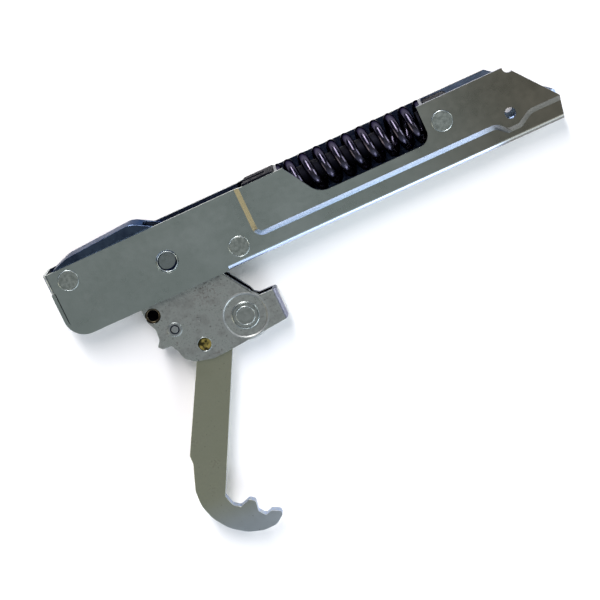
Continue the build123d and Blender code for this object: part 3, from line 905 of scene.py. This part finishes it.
# Finishes
ARM_ZINC = PlatedSteel(
    name="arm_zinc",
    plate=colour(170, 180, 174),
    cloud=colour(160, 169, 164),
    roughness=0.3,
    roughness_spread=0.08,
    bump_depth=0.000005,
    speck_from=0.8,
    marked=(
        # Sheared edges: partly their own darker tone; the blue tint is a painted reflection of dark blue
        # surroundings
        Marked("cut", colour(106, 118, 142), colour(106, 118, 142), streaks=0.4),
        # Painted reflection of warm light from the left on the step faces
        Marked("warm", colour(126, 121, 107), colour(126, 121, 107)),
        # Painted highlight on the slope: bluish white, fading to grey from 136 to 150 mm along the arm
        Marked("slope", colour(182, 195, 220), colour(104, 104, 100), 136.0, 150.0),
        # Painted shade on the inner back wall: dark navy, turning pale blue from 118 to 138 mm along the arm
        Marked("hollow", colour(46, 56, 84), colour(140, 160, 192), 118.0, 138.0, 0.1),
        Marked("end", colour(84, 92, 106), colour(84, 92, 106), streaks=0.4),
    ),
    # Painted reflection: the arm turns darker and brownish toward its right end
    fades=(
        Fade(tone=colour(124, 117, 102), letter="X", start=-0.08, end=0.015, strength=0.9),
    ),
    rubs=(Rub(-35, -3, 9.0, 0.22), Rub(-12, -5, 7.0, 0.18)),
)
SADDLE_ZINC = PlatedSteel(
    name="saddle_zinc",
    plate=colour(96, 112, 138),
    cloud=colour(56, 68, 90),
    roughness=0.22,
    roughness_spread=0.1,
    edge_tint=colour(122, 132, 152),
    # Sheared edges: partly their own darker tone; the blue tint is a painted reflection of dark blue
    # surroundings
    marked=(Marked("cut", colour(58, 68, 88), colour(58, 68, 88), streaks=0.4),),
)
BRACKET_ZINC = PlatedSteel(
    name="bracket_zinc",
    plate=colour(204, 208, 202),
    cloud=colour(134, 137, 133),
    roughness=0.34,
    roughness_spread=0.24,
    cloud_scale=150.0,
    speck_from=0.63,
    marked=(
        # Sheared edges: partly their own darker tone; the blue tint is a painted reflection of dark blue
        # surroundings
        Marked("cut", colour(60, 72, 100), colour(60, 72, 100), streaks=0.3),
        # Painted shade, near black, in the retaining hole and inside the far cheek
        Marked("bore", colour(18, 18, 20), colour(18, 18, 20)),
        Marked("bend", colour(136, 138, 156), colour(136, 138, 156), streaks=0.3),
    ),
    rubs=(
        Rub(8, -18, 10.0, 0.8), Rub(-13, -27.5, 2.2, 0.9), Rub(22, -23, 1.6, 0.9), Rub(14, -28, 9.0, 0.35),
        Rub(3, -44, 3.0, 0.6), Rub(9, -43, 2.0, 0.7), Rub(0.6, -27.7, 1.2, 1.0), Rub(17.8, -24.4, 0.9, 1.0),
        Rub(-11.9, -34.0, 1.4, 1.0), Rub(0.5, -43.8, 1.0, 1.0),
    ),
)
CLAW_STEEL = PlatedSteel(
    name="claw_steel",
    plate=colour(174, 174, 150),
    cloud=colour(154, 155, 135),
    grain_along="Y",
    roughness=0.34,
    roughness_spread=0.1,
    # Sheared edges: partly their own darker tone; the pale blue tint is a painted reflection
    marked=(Marked("cut", colour(128, 148, 182), colour(128, 148, 182), streaks=0.5),),
    fades=(
        Fade(tone=colour(180, 187, 193), letter="Y", start=-0.098, end=-0.118, strength=0.9),
    ),
    rubs=(Rub(-20, -88, 4.0, 0.45), Rub(-24, -76, 3.0, 0.4), Rub(-26, -98, 3.0, 0.35)),
)
SEAT_STEEL = PlatedSteel(
    name="seat_steel", plate=colour(24, 25, 32), cloud=colour(15, 16, 22), roughness=0.6, metallic=0.4,
    edge_tint=colour(90, 90, 100),
)
INNER_STEEL = PlatedSteel(
    name="washer_steel", plate=colour(150, 152, 154), cloud=colour(110, 112, 116), roughness=0.34
)
LIP_STEEL = PlatedSteel(
    name="lip_steel", plate=colour(190, 198, 196), cloud=colour(150, 158, 158), roughness=0.3,
    bump_depth=0.000004,
)
DARK_STEEL = PlatedSteel(
    name="dark_steel", plate=colour(84, 78, 64), cloud=colour(56, 50, 40), roughness=0.4,
    bump_depth=0.00001,
)
DISC_STEEL = PlatedSteel(
    name="disc_steel", plate=colour(150, 154, 152), cloud=colour(122, 126, 126), roughness=0.5,
    bump_depth=0.00001,
)

# Camera, in millimetres from the pivot, and its turn about its own axis in degrees
CAMERA_EYE = (132.5, 126.4, 908.5)
CAMERA_AIM = (43.0, -37.7, 8.5)
CAMERA_ROLL = 25.3
CAMERA_LENS = 133.07
CAMERA_SENSOR = 36.0


@dataclass(frozen=True)
class Lamp:
    """A soft rectangular light: which way and how far it hangs, its sides in metres, watts and tint."""

    name: str
    way: Triple
    away: float
    width: float
    length: float
    power: float
    tint: Triple

    def hang(self, aim: Vector) -> None:
        """Hang the light and turn it to what it lights."""
        data = bpy.data.lights.new(self.name, "AREA")
        data.shape = "RECTANGLE"
        data.size = self.width
        data.size_y = self.length
        data.energy = self.power
        data.color = self.tint
        lamp = bpy.data.objects.new(self.name, data)
        bpy.context.scene.collection.objects.link(lamp)
        direction = Vector(self.way).normalized()
        lamp.location = aim + direction * self.away
        lamp.rotation_euler = (-direction).to_track_quat("-Z", "Y").to_euler()


LAMPS = (
    Lamp("key", (0.05, 0.92, 0.78), 1.1, 0.28, 1.25, 20.0, (1.0, 0.95, 0.95)),
    Lamp("low_fill", (0.3, -1.0, 0.6), 1.1, 0.7, 0.7, 7.0, (0.86, 0.92, 1.0)),
    Lamp("left_warm", (-1.0, -0.1, 0.25), 0.9, 0.5, 0.5, 2.4, (1.0, 0.88, 0.66)),
    Lamp("right_fill", (1.0, 0.1, 0.5), 1.2, 0.5, 0.5, 5.0, (0.95, 0.98, 1.0)),
)


@dataclass
class Studio:
    """Pale floor, soft lights and the camera."""

    floor_half: float = 4.0
    floor_patches: float = 3.0
    floor_light: Tone = (0.93, 0.93, 0.93, 1.0)
    floor_dark: Tone = (0.9, 0.9, 0.9, 1.0)
    floor_roughness: float = 0.8
    front_tone: tuple[float, Tone] = (0.1, (0.75, 0.85, 1.0, 1.0))
    middle_tone: tuple[float, Tone] = (0.42, (0.2, 0.214, 0.206, 1.0))
    back_tone: tuple[float, Tone] = (0.85, (0.03, 0.05, 0.12, 1.0))
    lit_middle: Triple = (60.0, -30.0, 0.0)

    def build(self, place: Place) -> None:
        """Make the floor, the lights, the surroundings and the camera."""
        self.floor()
        self.surroundings()
        for lamp in LAMPS:
            lamp.hang(place.point(*self.lit_middle))
        self.camera(place)

    def floor(self) -> None:
        """Make the pale floor that the hinge lies on."""
        mesh = bpy.data.meshes.new("floor")
        half = self.floor_half
        corners = [(-half, -half, 0), (half, -half, 0), (half, half, 0), (-half, half, 0)]
        mesh.from_pydata(corners, [], [(0, 1, 2, 3)])
        plane = bpy.data.objects.new("floor", mesh)
        bpy.context.scene.collection.objects.link(plane)
        shader = Shader("pale_floor")
        patches = shader.steps(shader.noise(self.floor_patches), 0.2, 0.8)
        tone = shader.blend(patches, self.floor_light, self.floor_dark)
        shader.join(tone, shader.surface.inputs["Base Color"])
        shader.surface.inputs["Roughness"].default_value = self.floor_roughness
        mesh.materials.append(shader.material)

    def surroundings(self) -> None:
        """Give the scene a dim room that is darker to the back and paler to the front."""
        world = bpy.data.worlds.new("room")
        bpy.context.scene.world = world
        world.use_nodes = True
        tree = world.node_tree
        tree.nodes.clear()
        output = tree.nodes.new("ShaderNodeOutputWorld")
        background = tree.nodes.new("ShaderNodeBackground")
        ramp = tree.nodes.new("ShaderNodeValToRGB")
        split = tree.nodes.new("ShaderNodeSeparateXYZ")
        where = tree.nodes.new("ShaderNodeTexCoord")
        remap = tree.nodes.new("ShaderNodeMapRange")
        remap.inputs["From Min"].default_value = -1.0
        stops = ramp.color_ramp.elements
        stops[0].position, stops[0].color = self.front_tone
        stops[1].position, stops[1].color = self.back_tone
        stops.new(self.middle_tone[0]).color = self.middle_tone[1]
        tree.links.new(where.outputs["Generated"], split.inputs["Vector"])
        tree.links.new(split.outputs["Y"], remap.inputs["Value"])
        tree.links.new(remap.outputs["Result"], ramp.inputs["Fac"])
        tree.links.new(ramp.outputs["Color"], background.inputs["Color"])
        tree.links.new(background.outputs["Background"], output.inputs["Surface"])

    def camera(self, place: Place) -> None:
        """Look down on the hinge from a little above its top edge, as the reference view does."""
        data = bpy.data.cameras.new("camera")
        data.lens = CAMERA_LENS
        data.sensor_width = CAMERA_SENSOR
        data.clip_start, data.clip_end = 0.05, 20.0
        camera = bpy.data.objects.new("camera", data)
        bpy.context.scene.collection.objects.link(camera)
        eye, aim = place.point(*CAMERA_EYE), place.point(*CAMERA_AIM)
        view = (aim - eye).normalized()
        level = view.cross(Vector((0, 1, 0))).normalized()
        upright = level.cross(view)
        roll = math.radians(CAMERA_ROLL)
        up = upright * math.cos(roll) + level * math.sin(roll)
        right = view.cross(up)
        turned = Matrix((right, up, -view)).transposed()
        camera.matrix_world = Matrix.Translation(eye) @ turned.to_4x4()
        bpy.context.scene.camera = camera
        bpy.context.scene.view_settings.view_transform = "Standard"


@dataclass
class DoorArm:
    """The folded arm with its saddle, cross pins and the fixed end of the spring line."""

    pivot_at: Span = (0.0, 0.0)
    stop_pin_at: Span = (-40.8, 9.9)
    spacer_pin_at: Span = (29.7, -6.7)
    anchor_pin_at: Span = (126.9, 6.05)
    narrow_level: float = 8.5
    wide_level: float = 11.0
    pin_radius: float = 4.1
    pivot_radius: float = 3.9
    pivot_shadow: Span = (-0.3, 0.8)
    lip_radius: float = 4.2
    saddle_cut_from: float = 5.4
    pin_edge: float = 0.1
    pivot_edge: float = 0.12
    seat_edge: float = 0.25

    def build(self, place: Place) -> list[bpy.types.Object]:
        """Make every piece that stays with the arm."""
        flush = RivetSteel(
            "flush_pin_ends", colour(140, 147, 141), colour(120, 126, 122),
            (self.stop_pin_at, self.spacer_pin_at, self.anchor_pin_at), self.pin_radius,
        )
        pivot = RivetSteel(
            "pivot_end", colour(126, 134, 131), colour(26, 34, 56), (self.pivot_at,),
            self.pivot_radius, shadow=self.pivot_shadow,
        )
        saddle_rules = side_faces("cut", self.saddle_cut_from)
        pieces: list[SheetPiece | PlainNode | Coil | SeamRing] = [
            SheetPiece("door_channel", Body.ARM, "arm_zinc", ARM_ZINC, rules=ARM_RULES),
            SheetPiece("pivot_saddle", Body.ARM, "saddle_zinc", SADDLE_ZINC, rules=saddle_rules),
            SheetPiece("open_stop_pin", Body.ARM, "pin_steel", flush, edge=self.pin_edge),
            SheetPiece("spacer_pin", Body.ARM, "pin_steel", flush, edge=self.pin_edge),
            SheetPiece("spring_anchor_pin", Body.ARM, "pin_steel", flush, edge=self.pin_edge),
            SheetPiece("main_pivot_pin", Body.ARM, "pin_steel", pivot, edge=self.pivot_edge),
            SheetPiece("end_spring_seat", Body.ARM, "seat_steel", SEAT_STEEL, edge=self.seat_edge),
            PlainNode("pivot_washers", INNER_STEEL),
            PlainNode("open_stop_sleeve", INNER_STEEL),
            PlainNode("spacer_tube", INNER_STEEL),
            PlainNode("end_seat_washer", INNER_STEEL),
            Coil(CoatedWire("spring_black", colour(66, 64, 76), colour(82, 78, 90))),
        ]
        lips = (
            (*self.pivot_at, self.narrow_level), (*self.stop_pin_at, self.narrow_level),
            (*self.spacer_pin_at, self.narrow_level), (*self.anchor_pin_at, self.wide_level),
        )
        for index, centre in enumerate(lips):
            pieces.append(SeamRing(f"arm_lip_{index}", Body.ARM, centre, self.lip_radius, LIP_STEEL))
        return [piece.build(place) for piece in pieces]


@dataclass
class ClawArm:
    """The turning bracket with the claw and its fixings."""

    rivet_at: Span = (19.2, -34.9)
    rivet_radius: float = 5.4
    small_rivet_at: Span = (-10.2, -28.0)
    small_rivet_radius: float = 3.1
    small_rivet_groove: Span = (1.45, 2.05)
    locating_at: Span = (-1.6, -38.9)
    retaining_at: Span = (-16.1, -19.0)
    face_level: float = 4.5
    claw_edge: float = 0.25
    rivet_edge: float = 0.1
    small_rivet_edge: float = 0.08
    locating_edge: float = 0.2

    def build(self, place: Place) -> list[bpy.types.Object]:
        """Make every piece that turns on the main pivot."""
        big = RivetSteel(
            "big_rivet", colour(148, 153, 148), colour(96, 102, 100), (self.rivet_at,), self.rivet_radius,
            seam_width=0.5,
        )
        # Its dark seam tone also paints the shade ring from 1.45 to 2.05 mm
        small = RivetSteel(
            "small_rivet", colour(160, 164, 162), colour(36, 40, 50), (self.small_rivet_at,),
            self.small_rivet_radius, groove=self.small_rivet_groove,
        )
        brass = GreasedBrass("yellow_pin")
        claw_rules = side_faces("cut", 0.0)
        pieces: list[SheetPiece | PlainNode | SeamRing] = [
            SheetPiece("claw_bracket", Body.CLAW, "bracket_zinc", BRACKET_ZINC, rules=BRACKET_RULES),
            SheetPiece("claw", Body.CLAW, "claw_steel", CLAW_STEEL, edge=self.claw_edge, rules=claw_rules),
            SheetPiece("claw_rivet", Body.CLAW, "pin_steel", big, edge=self.rivet_edge),
            SheetPiece("claw_small_rivet", Body.CLAW, "pin_steel", small, edge=self.small_rivet_edge),
            SheetPiece("claw_locating_pin", Body.CLAW, "yellow_pin", brass, edge=self.locating_edge),
            PlainNode("link_pin", INNER_STEEL),
            self.ring("disc_lip", self.rivet_at, 3.57, 9.6, DISC_STEEL, 1.0),
            self.ring("rivet_lip", self.rivet_at, 4.2, 5.6, LIP_STEEL, 0.3),
            self.ring("rivet_core_lip", self.rivet_at, 4.7, 3.9, LIP_STEEL, 0.18),
            self.ring("small_rivet_lip", self.small_rivet_at, self.face_level, 2.9, LIP_STEEL, 0.2),
            self.ring("locating_lip", self.locating_at, self.face_level, 3.0, LIP_STEEL, 0.15),
            self.ring("retaining_lip", self.retaining_at, 3.1, 2.85, DARK_STEEL, 0.5),
        ]
        return [piece.build(place) for piece in pieces]

    def ring(self, name: str, at: Span, level: float, radius: float, finish: Finish, lip: float) -> SeamRing:
        """Describe a ring on the bracket by its place, level, radius and thickness."""
        return SeamRing(name, Body.CLAW, (*at, level), radius, finish, lip)


@dataclass
class SpringCarriage:
    """The sliding pieces that squeeze the spring."""

    seat_edge: float = 0.25
    link_edge: float = 0.2

    def build(self, place: Place) -> list[bpy.types.Object]:
        """Make every piece that slides with the carriage."""
        pieces: list[SheetPiece | PlainNode] = [
            SheetPiece("moving_spring_seat", Body.CARRIAGE, "seat_steel", SEAT_STEEL, edge=self.seat_edge),
            SheetPiece("push_link", Body.CARRIAGE, "seat_steel", SEAT_STEEL, edge=self.link_edge),
            PlainNode("spring_guide_rod", SEAT_STEEL),
            PlainNode("seat_pin", INNER_STEEL),
            PlainNode("moving_seat_washer", INNER_STEEL),
        ]
        return [piece.build(place) for piece in pieces]


def main() -> None:
    """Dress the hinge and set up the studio."""
    logging.basicConfig(level=logging.INFO, format="%(message)s")
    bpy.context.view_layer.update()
    place = Place()
    for assembly in (DoorArm(), ClawArm(), SpringCarriage()):
        made = assembly.build(place)
        LOG.info("%s: %d pieces", type(assembly).__name__, len(made))
    Studio().build(place)


if __name__ == "__main__":
    main()
